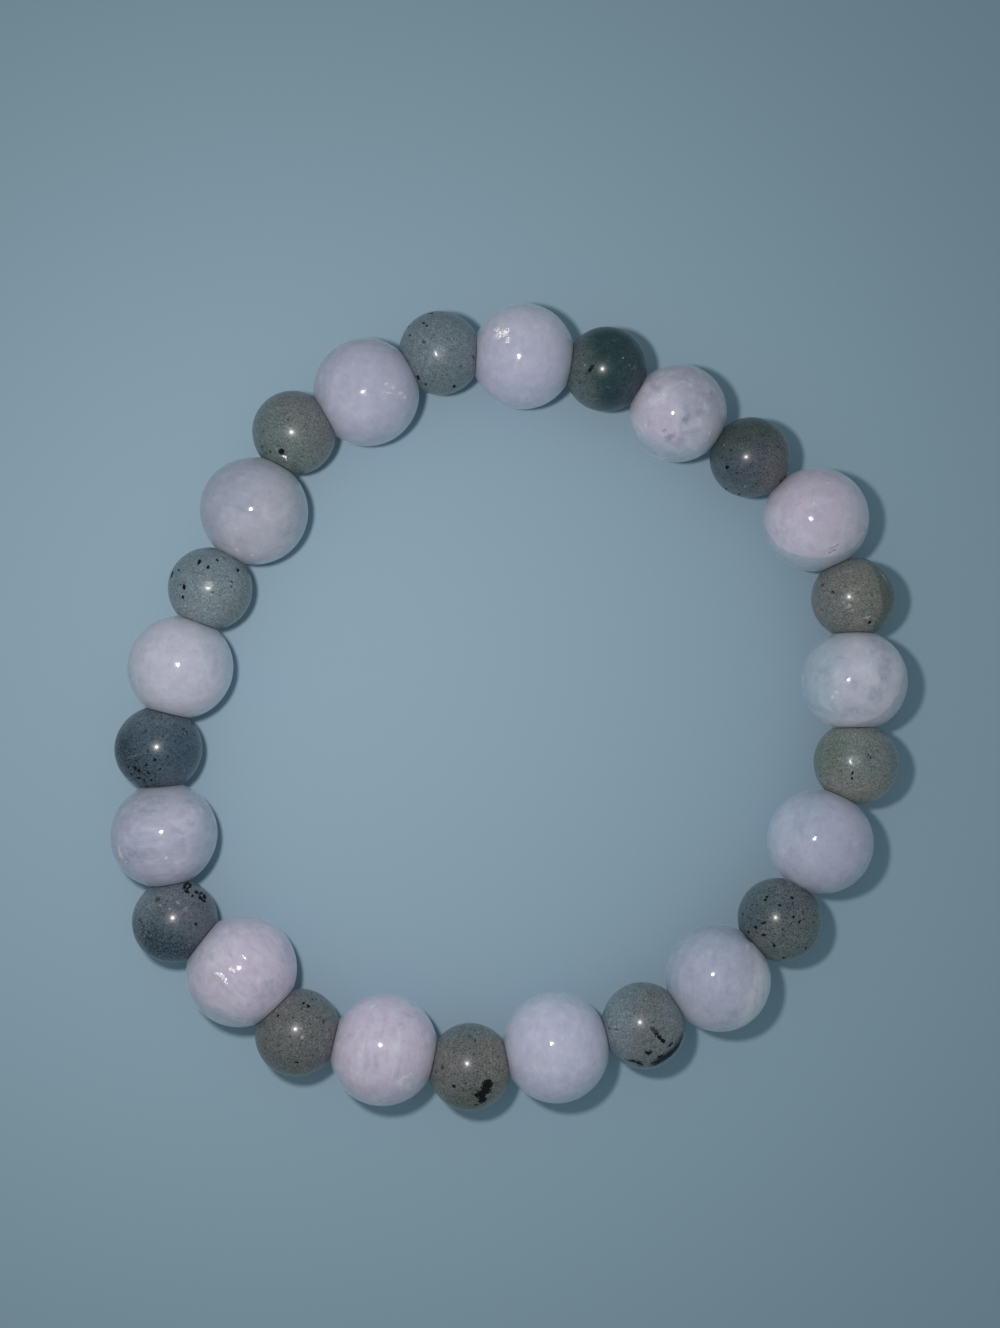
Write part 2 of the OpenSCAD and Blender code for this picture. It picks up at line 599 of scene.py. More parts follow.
@dataclass
class White:
    tint: tuple
    light: float = 1.0
    clouds: float = 0.5
    fibres: float = 0.15
    fibre_angle: float = 90.0
    zones: tuple = ()
    veils: tuple = ()
    spots: tuple = ()
    cracks: tuple = ()
    pale: tuple = ()
    glitter: tuple = ()
    cleavage: tuple = None  # where the ball's surface lies as the glittering cleavages do
    dents: tuple = ()


@dataclass
class Grey:
    tint: tuple
    light: float = 1.0
    pepper: float = 0.5
    mottle: float = 0.5
    zones: tuple = ()
    pepper_zone: Zone = None
    black: tuple = ()
    faint: tuple = ()
    pale: tuple = ()
    faint_pale: tuple = ()
    pink: tuple = ()
    glitter: tuple = ()
    cleavage: tuple = None
    dents: tuple = ()


# Each bead as the photo shows it. A zone reads tint, angle, start, soft, tilt and amount. A mark reads
# x, y, length, width and angle. A dent reads x, y, its width in pixels and its depth in millimetres.

LOOKS = {
    1: White(
        LAVENDER,
        light=1.02,
        clouds=0.25,
        zones=(Zone(GLASSY_AND_BOUNCE_LIGHT, -70, 0.55, 0.35, 20, 0.2), Zone(MILK, 90, 0.45, 0.3, 0, 0.3)),
        glitter=((502, 334, 19, 12, 25), (497, 329, 10, 5, 0), (508, 340, 10, 5, 60)),
        cleavage=(519.5, 356),
        # The pale streak at the left edge is a painted reflected highlight.
        pale=((477, 343, 12, 1.6, 90),),
    ),
    2: Grey(
        DARK_GREEN,
        light=0.79,
        pepper=0.9,
        zones=(Zone(GREENISH, 190, 0.32, 0.3, 0, 1.0), Zone(BLUE_GREY, -8, 0.40, 0.3, 10, 0.35)),
        black=((591, 369, 10, 2.6, 56),),
        pale=((629, 365, 1.4), (623, 358, 1.6), (584, 365, 1.6)),
    ),
    3: White(
        CREAM,
        light=1.04,
        clouds=0.7,
        zones=(
            Zone(PINKISH, 190, 0.0, 0.4, 0, 0.6),
            Zone(MAUVE, 42, 0.25, 0.3, 10, 0.65),
            Zone(GLASSY_AND_BOUNCE_LIGHT, -105, 0.62, 0.2, 30, 0.6),
        ),
        veils=((706, 390, 36, 20, -48), (688, 380, 26, 9, -12), (700, 412, 26, 10, 60)),
        spots=((685.5, 419.5, 8, 7, 20), (670, 437, 9, 6, 25), (664, 431, 4)),
        pale=((710, 433, 2.4), (645, 425, 2)),
    ),
    4: Grey(
        PURPLE_GREY,
        light=1.0,
        pepper=0.85,
        zones=(
            Zone(BLUE_GREY, 180, 0.10, 0.3, 0, 0.6),
            Zone(MOSS, 110, 0.25, 0.3, 0, 0.8),
            Zone(WARM_GREY, -20, 0.40, 0.3, 0, 0.8),
            # Greener and lighter at the bottom rim: partly the stone's tint, partly painted bounce
            # light.
            Zone(GREENISH, -95, 0.70, 0.15, 20, 0.6),
        ),
        black=(
            (727, 467.5, 4),
            (726, 489, 3.5),
            (739, 494.5, 3),
            (781, 480.5, 4, 2.5, 30),
            (786, 478.5, 3),
        ),
        faint=((731, 450, 3), (736.5, 473, 3), (722, 458, 2.5), (778, 447, 3)),
        pale=((724, 445, 1.6), (745.5, 487, 2.6, 1.3, 40)),
    ),
    5: White(
        PINKISH,
        light=1.04,
        clouds=0.4,
        zones=(
            Zone(MILK, 250, 0.15, 0.4, 0, 0.3),
            Zone(MILK, 0, 0.55, 0.3, 0, 0.3),
            Zone(GLASSY_AND_BOUNCE_LIGHT, -95, 0.71, 0.03, 55, 0.65),
        ),
        cracks=((835, 546, 12, 1.2, 30), (833, 551, 8, 1, 20)),
        # The first two pale marks are painted glints.
        pale=((814, 503, 2.6), (828, 483, 4, 3, 0), (833, 553, 9, 1.6, 25), (806, 478, 2)),
    ),
    6: Grey(
        TAN,
        light=1.20,
        pepper=0.6,
        mottle=0.8,
        zones=(
            # Lighter towards the bottom: partly the stone's tint, partly painted bounce light.
            Zone(TAN, -75, 0.45, 0.3, 0, 0.8),
            Zone(WARM_GREY, -170, 0.10, 0.2, 0, 0.6),
            Zone(MOSS, 2, 0.64, 0.04, 30, 0.6),
        ),
        black=((869.5, 622.5, 4, 3, 20),),
        faint=((822.5, 585, 4), (833, 592.5, 3.5), (843, 603.5, 3), (872, 594, 1.3, 6, 0)),
        pale=(
            (884, 577, 14, 1.4, -58),
            # These three pale spots below the highlight are painted glints.
            (849, 606, 5, 3, 20),
            (843.5, 603, 3),
            (853, 610, 3),
            (868, 617, 8, 2, 20),
        ),
        dents=((847, 605, 11, 0.03),),
    ),
    7: White(
        CREAM,
        light=1.09,
        clouds=0.4,
        zones=(
            Zone(GLASSY_AND_BOUNCE_LIGHT, 180, 0.30, 0.3, 15, 0.7),
            Zone(MILK, -45, 0.50, 0.1, 50, 0.4),
            Zone(MAUVE, -52, 0.80, 0.04, 60, 0.6),
        ),
        veils=((885, 668, 30, 10, 80), (878, 694, 28, 12, 50), (858, 711, 30, 10, 12)),
        pale=((837, 692, 4, 3, 40), (833, 697, 3)),
    ),
    8: Grey(
        GREENISH,
        light=1.48,
        pepper=0.5,
        zones=(
            Zone(OLIVE, 180, 0.25, 0.25, 0, 0.8),
            Zone(WARM_GREY, -30, -0.2, 0.3, 0, 0.5),
            # Lighter towards the bottom: partly the stone's tint, partly painted bounce light.
            Zone(TAN, -90, 0.35, 0.3, 0, 0.8),
            Zone(TAN, 90, 0.5, 0.3, 0, 0.5),
        ),
        black=((871, 757, 7, 1.6, -27), (852.5, 773, 5, 2, 80), (852, 778.5, 2.6)),
        faint=((885, 776, 2.5), (820, 776, 2.5), (882, 732, 3), (888, 734.5, 2), (837, 761, 2)),
        pale=((855, 734, 2.2),),
        dents=((856, 760.5, 12, 0.035),),
    ),
    9: White(
        COOL,
        light=1.04,
        clouds=0.3,
        zones=(
            Zone(LAVENDER, -40, -0.30, 0.4, 0, 0.9),
            Zone(MILK, 165, 0.60, 0.3, 10, 0.3),
            Zone(GLASSY_AND_BOUNCE_LIGHT, -80, 0.80, 0.15, 30, 0.35),
        ),
    ),
    10: Grey(
        BLUE_GREY,
        light=1.20,
        pepper=1.0,
        zones=(
            Zone(MOSS, 200, -0.30, 0.5, 0, 0.3),
            Zone(GREENISH, 110, 0.45, 0.3, 0, 0.5),
            Zone(WARM_GREY, -60, -0.10, 0.4, 0, 0.6),
            Zone(WARM_GREY, 55, 0.50, 0.2, 0, 0.5),
            Zone(GREENISH, -45, 0.50, 0.2, 20, 0.5),
        ),
        black=(
            (767.2, 896.6, 4, 2, 40),
            (765, 900, 3),
            (780, 905.5, 2.6),
            (792, 897.6, 3),
            (793.5, 916.8, 2.8),
            (799.5, 921.6, 4, 2.4, 30),
            (803, 912, 2),
            (763.8, 923, 6, 2.2, 30),
            (756, 927.5, 3),
            (748.5, 932, 3),
            (763.8, 935, 4, 3, 50),
            (742.5, 914, 2.4),
            (774, 945.5, 2.4, 5, 10),
            (806, 948, 3),
            (784, 958, 4, 3, 0),
        ),
        dents=((789.5, 883.5, 11, 0.45),),
        faint=((783, 929, 2.5), (815, 915, 2.5), (793, 903.5, 2.4), (757, 905, 2), (798, 936, 2.4)),
    ),
    11: White(
        COOL,
        light=1.0,
        clouds=0.3,
        fibres=0.3,
        zones=(
            Zone(LAVENDER, -70, -0.4, 0.5, 0, 0.9), Zone(MILK, -90, 0.6, 0.3, 0, 0.35),
            Zone(GLASSY_AND_BOUNCE_LIGHT, 170, 0.62, 0.3, 20, 0.35),
            Zone(MILK, -12, 0.60, 0.15, 20, 1.0),
            Zone(VEIL, 72, 0.76, 0.12, 25, 0.35),
        ),
        pale=((748, 947, 7, 2, 35),),
        dents=((749, 938, 14, 0.6),),
    ),
    12: Grey(
        COOL_GREY,
        light=1.15,
        pepper=0.5,
        mottle=0.6,
        zones=(
            Zone(GREENISH, 110, 0.30, 0.2, 0, 0.4),
            Zone(WARM_GREY, -20, -0.30, 0.4, 0, 0.7), Zone(PALE_GREY, 5, 0.50, 0.3, 0, 0.4),
            Zone(PALE_GREY, 185, 0.40, 0.3, 0, 0.5),
            # The dark band at the lower right is partly a dark inclusion and partly a painted
            # reflection of the bead's shadow; the thin lighter zone at the limb after it is a painted
            # light rim.
            Zone(NIGHT, -45, 0.76, 0.05, 0, 1.0),
            Zone(COOL_GREY, -50, 0.925, 0.015, 60, 0.9),
        ),
        black=(
            (659, 1037, 12, 3, -46),
            (663, 1041, 6, 4, -40),
            (648.5, 1053, 7, 5, 0),
            (632, 1061, 10, 3, 2),
            (639.5, 1063.5, 10, 4.6, -32),
            (671, 1044.5, 7, 3, 55),
            (660, 1057, 9, 3, 38),
            (654, 1062.5, 8, 3, 20),
        ),
        faint=(
            (609, 1028.5, 3.5),
            (616.4, 1029.7, 5, 2, 0),
            (632.5, 983.5, 4, 2, 20),
            (641, 983, 3),
            (655, 1031, 12, 5, -40),
        ),
    ),
    13: White(
        LAVENDER,
        light=1.17,
        clouds=0.22,
        fibres=0.2,
        fibre_angle=88,
        zones=(Zone(GLASSY_AND_BOUNCE_LIGHT, 95, 0.65, 0.15, 20, 0.3), Zone(GLASSY_AND_BOUNCE_LIGHT, -60, 0.80, 0.2, 20, 0.3)),
    ),
    14: Grey(
        WARM_GREY,
        light=1.08,
        pepper=0.8,
        mottle=0.7,
        zones=(
            Zone(GREENISH, 92, 0.62, 0.15, 0, 0.7),
            Zone(OLIVE, -70, 0.50, 0.25, 0, 0.9),
            Zone(TAN, 5, 0.35, 0.3, 0, 1.0),
            Zone(TAN, 175, 0.5, 0.3, 0, 0.6),
        ),
        black=(
            (487, 1085.5, 12, 11, 60),
            (484.5, 1092, 14, 9, 15),
            (478, 1095.5, 8, 5, 0),
            (482.3, 1099.5, 11, 8, 85),
            (454, 1086.3, 3.6),
            (476, 1105, 5, 2, 0),
        ),
        faint=(
            (466, 1084, 2.2),
            (470, 1089, 2.4),
            (475, 1085, 2),
            (472, 1094, 2.2),
            (463, 1090, 1.8),
            (476, 1090, 2.4),
            (442.5, 1067, 3.5, 5, 0),
            (475, 1040, 3),
            (469, 1036, 2.6),
        ),
        pink=((452, 1066, 6), (498, 1043, 5, 3, -30)),
    ),
    15: White(
        PINKISH,
        light=1.11,
        clouds=0.4,
        fibres=0.3,
        fibre_angle=85,
        zones=(Zone(MAUVE, -98, 0.66, 0.03, 42, 0.25),),
        # The first two pale marks are painted glints.
        pale=((402, 1079, 11, 3, 30), (410, 1074.5, 7, 2, 40), (400, 1084, 4)),
    ),
    16: Grey(
        WARM_GREY,
        light=1.06,
        pepper=0.8,
        mottle=0.6,
        zones=(Zone(OLIVE, 215, 0.20, 0.4, 0, 0.2), Zone(GREENISH, 40, 0.70, 0.2, 0, 0.5)),
        black=(
            (308.3, 1006, 3.2),
            (303.4, 1003, 2.6),
            (278, 1015.8, 3.2, 2, 20),
            (296.5, 1062.5, 4, 2, 0),
        ),
        # These pale spots beside the highlight are painted highlight.
        pale=((302, 1037, 4, 3, 0), (301, 1028.5, 2.4)),
        faint=(
            (312, 999.3, 3.6, 1.6, 20),
            (292.8, 1017.5, 2.6),
            (278.8, 1045.3, 3.6, 1.6, 0),
            (306.4, 1042.5, 2.4),
            (323.5, 1021.3, 2.6),
        ),
    ),
    17: White(
        PINKISH,
        light=1.04,
        clouds=0.35,
        fibres=0.4,
        fibre_angle=-50,
        zones=(Zone(GLASSY_AND_BOUNCE_LIGHT, 130, 0.55, 0.3, 20, 0.3), Zone(GLASSY_AND_BOUNCE_LIGHT, -110, 0.78, 0.05, 35, 0.5)),
        glitter=(
            (220, 975, 13, 4, -25),
            (244, 957, 8, 2.6, -42),
            (225, 981, 11, 5, -50),
            (215, 972, 6, 3, 0),
            # This patch is the highlight's tail, painted.
            (231, 970, 9, 4, -20),
        ),
        cleavage=(237, 967),
    ),
    18: Grey(
        PURPLE_GREY,
        light=1.2,
        pepper=0.7,
        mottle=0.7,
        zones=(
            Zone(BLUE_GREY, 235, 0.10, 0.3, 0, 1.0),
            Zone(STEEL, 250, 0.50, 0.2, 0, 0.9),
            Zone(COOL_GREY, 165, 0.55, 0.25, 0, 0.5),
            Zone(COOL_GREY, 100, 0.45, 0.25, 0, 0.3),
        ),
        pepper_zone=Zone(BLACK, 246, 0.26, 0.2),
        black=(
            (184.5, 886.5, 2.8, 6.4, 8),
            (187, 883.3, 6.2, 2.8, 15),
            (190.5, 885, 5, 2.8, -60),
            (188.5, 888, 6, 2.4, 20),
            (187, 891.5, 6, 2.8, -25),
            (201, 893.5, 6, 2.8, 35),
            (204.5, 896.5, 3, 6.4, 15),
            (200.5, 898, 5.6, 2.6, -50),
            (204, 901, 4.4, 2.8, -20),
            (196.5, 892, 4.4, 2.6, -40),
            (192.5, 895.5, 2.6),
            (196, 924, 3.2),
        ),
        faint=((158, 899.6, 5), (152, 924, 3), (140, 920.5, 3)),
        pale=((178, 903, 2.4), (170, 909, 3, 2, 0), (160, 905, 2)),
        # The first pink spot is a painted coloured glint.
        pink=((185.5, 909, 4, 3, 0), (190, 914, 2.4), (180, 901, 3)),
    ),
    19: White(
        LAVENDER,
        light=0.92,
        clouds=0.4,
        fibres=0.4,
        fibre_angle=3,
        zones=(
            Zone(GLASSY_AND_BOUNCE_LIGHT, 100, 0.50, 0.08, 0, 0.2),
            Zone(GLASSY_AND_BOUNCE_LIGHT, 0, 0.60, 0.25, 10, 0.45),
            Zone(COOL, 200, 0.45, 0.2, 0, 0.3),
        ),
        veils=((143, 808, 50, 22, 6), (138, 856, 34, 10, 8)),
        pale=((120, 853, 3, 11, 15), (126, 862, 4, 2, 0), (166, 858, 3)),
    ),
    20: Grey(
        STEEL,
        light=0.95,
        pepper=1.0,
        mottle=0.6,
        zones=(Zone(COOL_GREY, 95, 0.45, 0.3, 0, 0.35), Zone(PALE_GREY, 260, 0.45, 0.3, 0, 0.15)),
        pepper_zone=Zone(BLACK, 217, 0.42, 0.2),
        black=(
            (155, 760, 3),
            (139, 771, 4),
            (148.6, 773, 3.2),
            (135, 768, 4),
            (139, 778, 3.4),
            (146, 765, 2.6),
            (131, 774, 3),
            (144, 780, 3),
            (151, 780, 2.6),
            (128, 767, 2.6),
            (160, 769, 2.6),
            (147, 786, 2.6),
            (136, 761, 2.4),
        ),
        faint=((145.4, 732, 2.8), (183, 729, 2.8), (168, 757, 2.6), (187, 732, 2.8), (148, 751, 2.4)),
        faint_pale=((134, 756, 18, 1.2, 18),),
    ),
    21: White(
        CREAM,
        light=0.99,
        clouds=0.3,
        zones=(Zone(GLASSY_AND_BOUNCE_LIGHT, 25, 0.60, 0.35, 20, 0.4), Zone(GLASSY_AND_BOUNCE_LIGHT, 200, 0.80, 0.25, 20, 0.3)),
    ),
    22: Grey(
        COOL_GREY,
        light=1.05,
        pepper=0.4,
        mottle=0.4,
        # The first zone, lighter towards the bottom, is partly the stone's tint and partly painted
        # bounce light.
        zones=(Zone(PALE_GREY, -65, 0.0, 0.35, 0, 0.6), Zone(GREENISH, -25, 0.60, 0.25, 10, 0.7)),
        black=(
            (199, 562, 3.5, 7, -10),
            (217, 560, 3.6, 2.4, -30),
            (208, 567, 2.6, 4, 0),
            (172, 574, 3, 8, -12),
            (178.6, 570, 2.8),
            (184, 587, 3.2, 6, 0),
            (180.6, 585, 2),
            (183, 597, 2.6, 4, 0),
            (237.8, 570, 2.6, 4.4, 0),
        ),
        faint=((231.8, 582, 2.6), (231, 586, 2.4), (212.6, 592, 4, 1.5, -15), (224, 601, 2.2)),
        dents=((208, 584, 9, 0.02),),
    ),
    23: White(
        CREAM,
        light=0.81,
        clouds=0.3,
        fibres=0.25,
        fibre_angle=-20,
        zones=(
            Zone(COOL, 150, 0.15, 0.3, 0, 0.6),
            Zone(GLASSY_AND_BOUNCE_LIGHT, 0, 0.60, 0.25, 15, 0.45),
            Zone(MILK, -90, 0.60, 0.25, 10, 0.4),
        ),
        pale=((236.6, 550, 2.4), (252.3, 555.5, 2.2)),
    ),
    24: Grey(
        GREENISH,
        light=1.13,
        pepper=0.6,
        mottle=0.6,
        zones=(
            Zone(OLIVE, -100, 0.10, 0.35, 0, 0.2),
            Zone(PALE_GREY, 90, 0.5, 0.3, 0, 0.3),
            Zone(WARM_GREY, 45, 0.0, 0.35, 0, 0.7),
        ),
        # The pit's black is painted shade.
        black=((281.4, 451.4, 6.4, 6, 0),),
        faint=(
            (287.7, 419.5, 2.6),
            (262, 447, 3.4),
            (266, 453, 2.2),
            (259, 441, 2),
            (314, 463.8, 3.4, 1.6, 20),
            (270, 452, 3),
        ),
        # A painted glint of the lamp on the pit's edge.
        glitter=((284.5, 457, 8.5, 5, -25),),
        cleavage=(290, 430.5),
        dents=((281.4, 451.2, 8, 0.16),),
    ),
    25: White(
        LAVENDER,
        light=0.94,
        clouds=0.28,
        zones=(Zone(GLASSY_AND_BOUNCE_LIGHT, -50, 0.65, 0.3, 20, 0.4), Zone(GLASSY_AND_BOUNCE_LIGHT, 180, 0.80, 0.25, 20, 0.3)),
        # The first pale mark is a painted glint on the crack.
        pale=(
            (400, 393, 6, 2.6, 0),
            (393, 388, 3),
            (405, 397, 3),
            (386, 384, 3, 2, 0),
            (389, 393, 12, 1.2, 0),
        ),
    ),
    26: Grey(
        COOL_GREY,
        light=0.99,
        pepper=0.4,
        mottle=0.4,
        zones=(Zone(GREENISH, -90, 0.35, 0.4, 10, 0.5),),
        black=(
            (431.5, 313.3, 4.4, 2.4, 20),
            (408.6, 326.3, 3),
            (409.6, 335.2, 2.6),
            (423.5, 323, 2.6),
            (426.8, 325.8, 2.4),
            (418.2, 377.5, 5, 2.4, -60),
            (425.6, 384.3, 3.2, 2, 20),
            (454.4, 386.4, 4.4, 2.6, 10),
        ),
        faint=(
            (423.5, 342, 2, 4, 0),
            (431, 339, 2.4),
            (473.6, 357.6, 2.4, 5, 0),
            (461, 366.2, 4, 1.8, 20),
        ),
        faint_pale=((452.8, 340, 11, 1.2, -52),),
        dents=((441, 351, 13, 0.035),),
    ),
}


VEILS = Layer(VEIL, 0.8, 1.6, 1.0, 0.7)
SPOTS = Layer(VEIN, 2.5, 0.8, 0.8, 0.6)
CRACKS = Layer(CRACK, 3.0, 0.5, 0.35, 0.8)
# Pale flecks in the white stone; some charted ones are painted glints.
FLECKS_AND_GLINTS = Layer(FLECK_AND_GLINT, 4.0, 0.7, 0.6, 0.65)
GLITTER = Layer(GLINT, 2.0, 0.8, 0.8)

BLOTCH_LENGTH = 6.5  # black marks of this many pixels or more have more uneven outlines
BLOTCHES = Layer(BLACK, 5.5, 0.85, 0.15)
DOTS = Layer(BLACK, 5.5, 0.30, 0.15)
FAINT_DOTS = Layer(BLACK, 5.0, 0.55, 0.4, 0.75)
PINK_SPOTS = Layer(PINK_SPOT, 5.0, 0.55, 0.8, 0.5)
# Pale spots in the grey stone; on beads 6 and 16 they are painted glints and highlight.
PALE_SPOTS = Layer(PALE, 5.0, 0.55, 0.5, 0.4)
FAINT_PALE_SPOTS = Layer(PALE, 5.0, 0.55, 0.5, 0.14)

WHITE_SHIFT = 31.7  # from one bead to the next in the noises, so that no two beads are the same
GREY_SHIFT = 47.3
WHITE_RIPPLE = 0.012  # height of the polish's unevenness
GREY_RIPPLE = 0.009
GRAIN_HEIGHT = 0.004
PEPPER_DOTS = ((4.2, 0.55), (2.2, 0.45))  # cells in a millimetre, and the share with a dot
PEPPER_DOT_SIZE = 0.26
FIBRE_LENGTH = 7  # of a fibre, in its own widths
FLAKE_LENGTH = 2.2
FLAKE_ANGLE = -35.0
FLAKE_TILT = 0.5  # how much the flakes differ in direction

# Black stone here is inclusions, and also the painted shade in bead 24's pit and the partly painted
# shadow reflection at bead 12's rim.
DARK = 0.03  # stone up to this light is a black inclusion, which is duller
CLEAR = 0.13  # stone from this light on is as see-through as grey stone gets
GREY_CLEARNESS = 0.35
GREY_COAT = 0.42


def zoned(shader, here, wobble, bead, look):
    """The stone's colour, with the bead's zones laid over it."""
    stone = colour(*look.tint, look.light)
    for zone in look.zones:
        part = shader.side(here, bead, zone, wobble)
        part = shader.math("MULTIPLY", part, zone.amount)
        stone = shader.mix(part, stone, colour(*zone.tint, look.light))
    return stone


def charted_part(shader, here, bead, charted, layer):
    """1 inside the charted marks of one kind, with the uneven outlines of that kind."""
    place = shader.warped(here, layer.shake_scale, layer.shake)
    return shader.marks(place, bead, charted, layer.soft)


def marked(shader, here, bead, stone, charted, layer, light=1.0):
    """The colour, with the charted marks of one kind laid over it."""
    if not charted:
        return stone
    part = charted_part(shader, here, bead, charted, layer)
    part = shader.math("MULTIPLY", part, layer.amount)
    return shader.mix(part, stone, colour(*layer.tint, light))


def glittering(shader, here, sample, bead, look, stone, normal):
    """The colour and normal with bright flakes, which lie along one cleavage, and the flakes' cover."""
    patch = charted_part(shader, here, bead, look.glitter, GLITTER)
    along = shader.stretched(sample, FLAKE_ANGLE, FLAKE_LENGTH)
    flakes = shader.noise(along, 12.0, detail=3.0, roughness=0.8)
    flakes = shader.math("MULTIPLY", flakes, shader.step(patch, 0.0, 0.9))
    bright = shader.step(flakes, 0.41, 0.64)
    shader.set("Metallic", shader.math("MULTIPLY", bright, 0.7))
    cleavage = (spot_on(bead, *look.cleavage) / bead.radius).tolist()
    uneven = shader.centred(shader.noise(sample, 5.0, output="Color"))
    tilted = {0: uneven, 1: (FLAKE_TILT,) * 3, 2: cleavage}
    facing = shader.add("ShaderNodeVectorMath", 0, tilted, operation="MULTIPLY_ADD")
    normal = shader.mix(bright, normal, facing)
    # On bead 24 the bright patch is a painted glint, and on bead 17 one patch is the highlight's tail,
    # painted.
    return shader.mix(bright, stone, colour(*GLITTER.tint)), normal, bright


def clouded(shader, sample, look, stone):
    """The white stone's colour, with milky and dull clouds, and with fibres that run one way."""
    milk = colour(*MILK, look.light)
    veil = colour(*VEIL, look.light)
    milky = shader.noise(sample, 0.38, detail=5.0, roughness=0.5, distortion=0.6)
    stone = shader.mix(shader.step(milky, 0.50, 0.70, look.clouds), stone, milk)
    dull = shader.noise(sample, 0.5, detail=5.0, roughness=0.5, distortion=0.5)
    stone = shader.mix(shader.step(dull, 0.54, 0.76, look.clouds), stone, veil)
    along = shader.stretched(sample, look.fibre_angle, FIBRE_LENGTH)
    strand = shader.noise(along, 1.6, detail=5.0, roughness=0.65, distortion=0.4)
    stone = shader.mix(shader.step(strand, 0.52, 0.72, look.fibres), stone, milk)
    return shader.mix(shader.step(strand, 0.48, 0.28, look.fibres), stone, veil)


def veiled(shader, here, sample, bead, look, stone):
    """The colour with the charted veils, which are patchy."""
    if not look.veils:
        return stone
    thick = shader.noise(sample, 1.8, detail=5.0, roughness=0.7)
    patchy = shader.step(thick, 0.25, 0.70, VEILS.amount)
    part = charted_part(shader, here, bead, look.veils, VEILS)
    part = shader.math("MULTIPLY", part, patchy)
    return shader.mix(part, stone, colour(*VEILS.tint, look.light))


def white_stone(name, bead, look):
    """Milky, slightly see-through stone with soft clouds, fibres, cracks and bright cleavages."""
    shader = Shader(name)
    here = shader.millimetres()
    sample = shader.millimetres(shift=WHITE_SHIFT * bead.number)
    wobble = shader.noise(sample, 0.35, detail=3.0)

    stone = zoned(shader, here, wobble, bead, look)
    stone = clouded(shader, sample, look, stone)
    stone = veiled(shader, here, sample, bead, look, stone)
    stone = marked(shader, here, bead, stone, look.spots, SPOTS, look.light)
    soft_noise = shader.noise(sample, 1.0, detail=4.0, roughness=0.6, distortion=0.5)
    stone = shader.shaded(stone, soft_noise, 0.09)
    stone = shader.shaded(stone, shader.noise(sample, 6.0, roughness=0.7), 0.04)
    stone = marked(shader, here, bead, stone, look.cracks, CRACKS)
    # Pale flecks, with some painted glints among them.
    stone = marked(shader, here, bead, stone, look.pale, FLECKS_AND_GLINTS)

    normal = shader.bump(shader.noise(sample, 1.6), WHITE_RIPPLE)
    rough = shader.step(shader.noise(sample, 2.0, detail=3.0), 0.0, 1.0, 0.24)
    if look.glitter:
        stone, normal, bright = glittering(shader, here, sample, bead, look, stone, normal)
        rough = shader.math("MAXIMUM", rough, shader.math("MULTIPLY", bright, 0.5))
    shader.set("Base Color", stone)
    shader.set("Roughness", rough)
    shader.set("IOR", 1.50)
    shader.set("Specular IOR Level", 0.35)
    shader.set("Subsurface Weight", 1.0)
    shader.set("Subsurface Radius", (0.9, 1.0, 1.05))
    shader.set("Subsurface Scale", 0.0040)
    shader.set("Sheen Weight", 0.20)
    shader.set("Sheen Roughness", 0.4)
    shader.set("Sheen Tint", (0.70, 0.95, 1.0, 1.0))
    shader.set("Normal", normal)
    return shader.material


def mottled(shader, sample, look, stone):
    """The grey stone's colour, with lighter and darker patches."""
    lighter = shader.noise(sample, 0.9, detail=5.0, roughness=0.7, distortion=0.5)
    pale = colour(*COOL_GREY, light=1.1)
    stone = shader.mix(shader.step(lighter, 0.52, 0.82, look.mottle), stone, pale)
    darker = shader.noise(sample, 1.5, detail=5.0, roughness=0.7, distortion=0.5)
    dark = colour(*DARK_GREEN, light=0.8)
    stone = shader.mix(shader.step(darker, 0.44, 0.24, look.mottle), stone, dark)
    fine = shader.noise(sample, 2.2, detail=4.0, roughness=0.7, distortion=0.4)
    return shader.shaded(stone, fine, 0.22)


def peppered(shader, here, sample, wobble, bead, look, stone):
    """The colour with fine dark pepper, thickest in the bead's pepper zone, and the pepper's noise."""
    amount = look.pepper
    if look.pepper_zone:
        part = shader.side(here, bead, look.pepper_zone, wobble)
        amount = shader.math("MAXIMUM", part, look.pepper)
        dense = shader.step(shader.noise(sample, 4.6, detail=3.0, roughness=0.9), 0.53, 0.45)
        dense = shader.math("MULTIPLY", dense, shader.math("MULTIPLY", part, 0.8))
        stone = shader.mix(dense, stone, colour(*look.pepper_zone.tint))
    grains = shader.noise(sample, 4.8, roughness=0.8)
    pepper = shader.math("MULTIPLY", shader.step(grains, 0.45, 0.36), amount)
    stone = shader.mix(shader.math("MULTIPLY", pepper, 0.85), stone, colour(*BLUE_BLACK))
    uneven = shader.warped(sample, 6.0, 0.25)
    for scale, share in PEPPER_DOTS:
        dots = shader.specks(uneven, scale, PEPPER_DOT_SIZE, share)
        stone = shader.mix(shader.math("MULTIPLY", dots, amount), stone, colour(*BLUE_BLACK))
    return stone, grains


def dusted(shader, sample, stone):
    """The colour with the stone's fine grain, and with a faint bright dust."""
    stone = shader.shaded(stone, shader.noise(sample, 7.0, roughness=0.9), 0.55)
    return shader.lit(stone, shader.noise(sample, 5.5, roughness=0.8), 0.58, 0.72, 1.0, 1.8)


def grey_marked(shader, here, bead, look, stone):
    """The colour with everything that is charted on a grey bead."""
    dots = [mark for mark in look.black if Mark(*mark).length < BLOTCH_LENGTH]
    blotches = [mark for mark in look.black if Mark(*mark).length >= BLOTCH_LENGTH]
    layers = (
        (look.faint, FAINT_DOTS),
        (look.pink, PINK_SPOTS),
        (dots, DOTS),
        (blotches, BLOTCHES),
        (look.pale, PALE_SPOTS),
        (look.faint_pale, FAINT_PALE_SPOTS),
    )
    for charted, layer in layers:
        stone = marked(shader, here, bead, stone, charted, layer)
    return stone


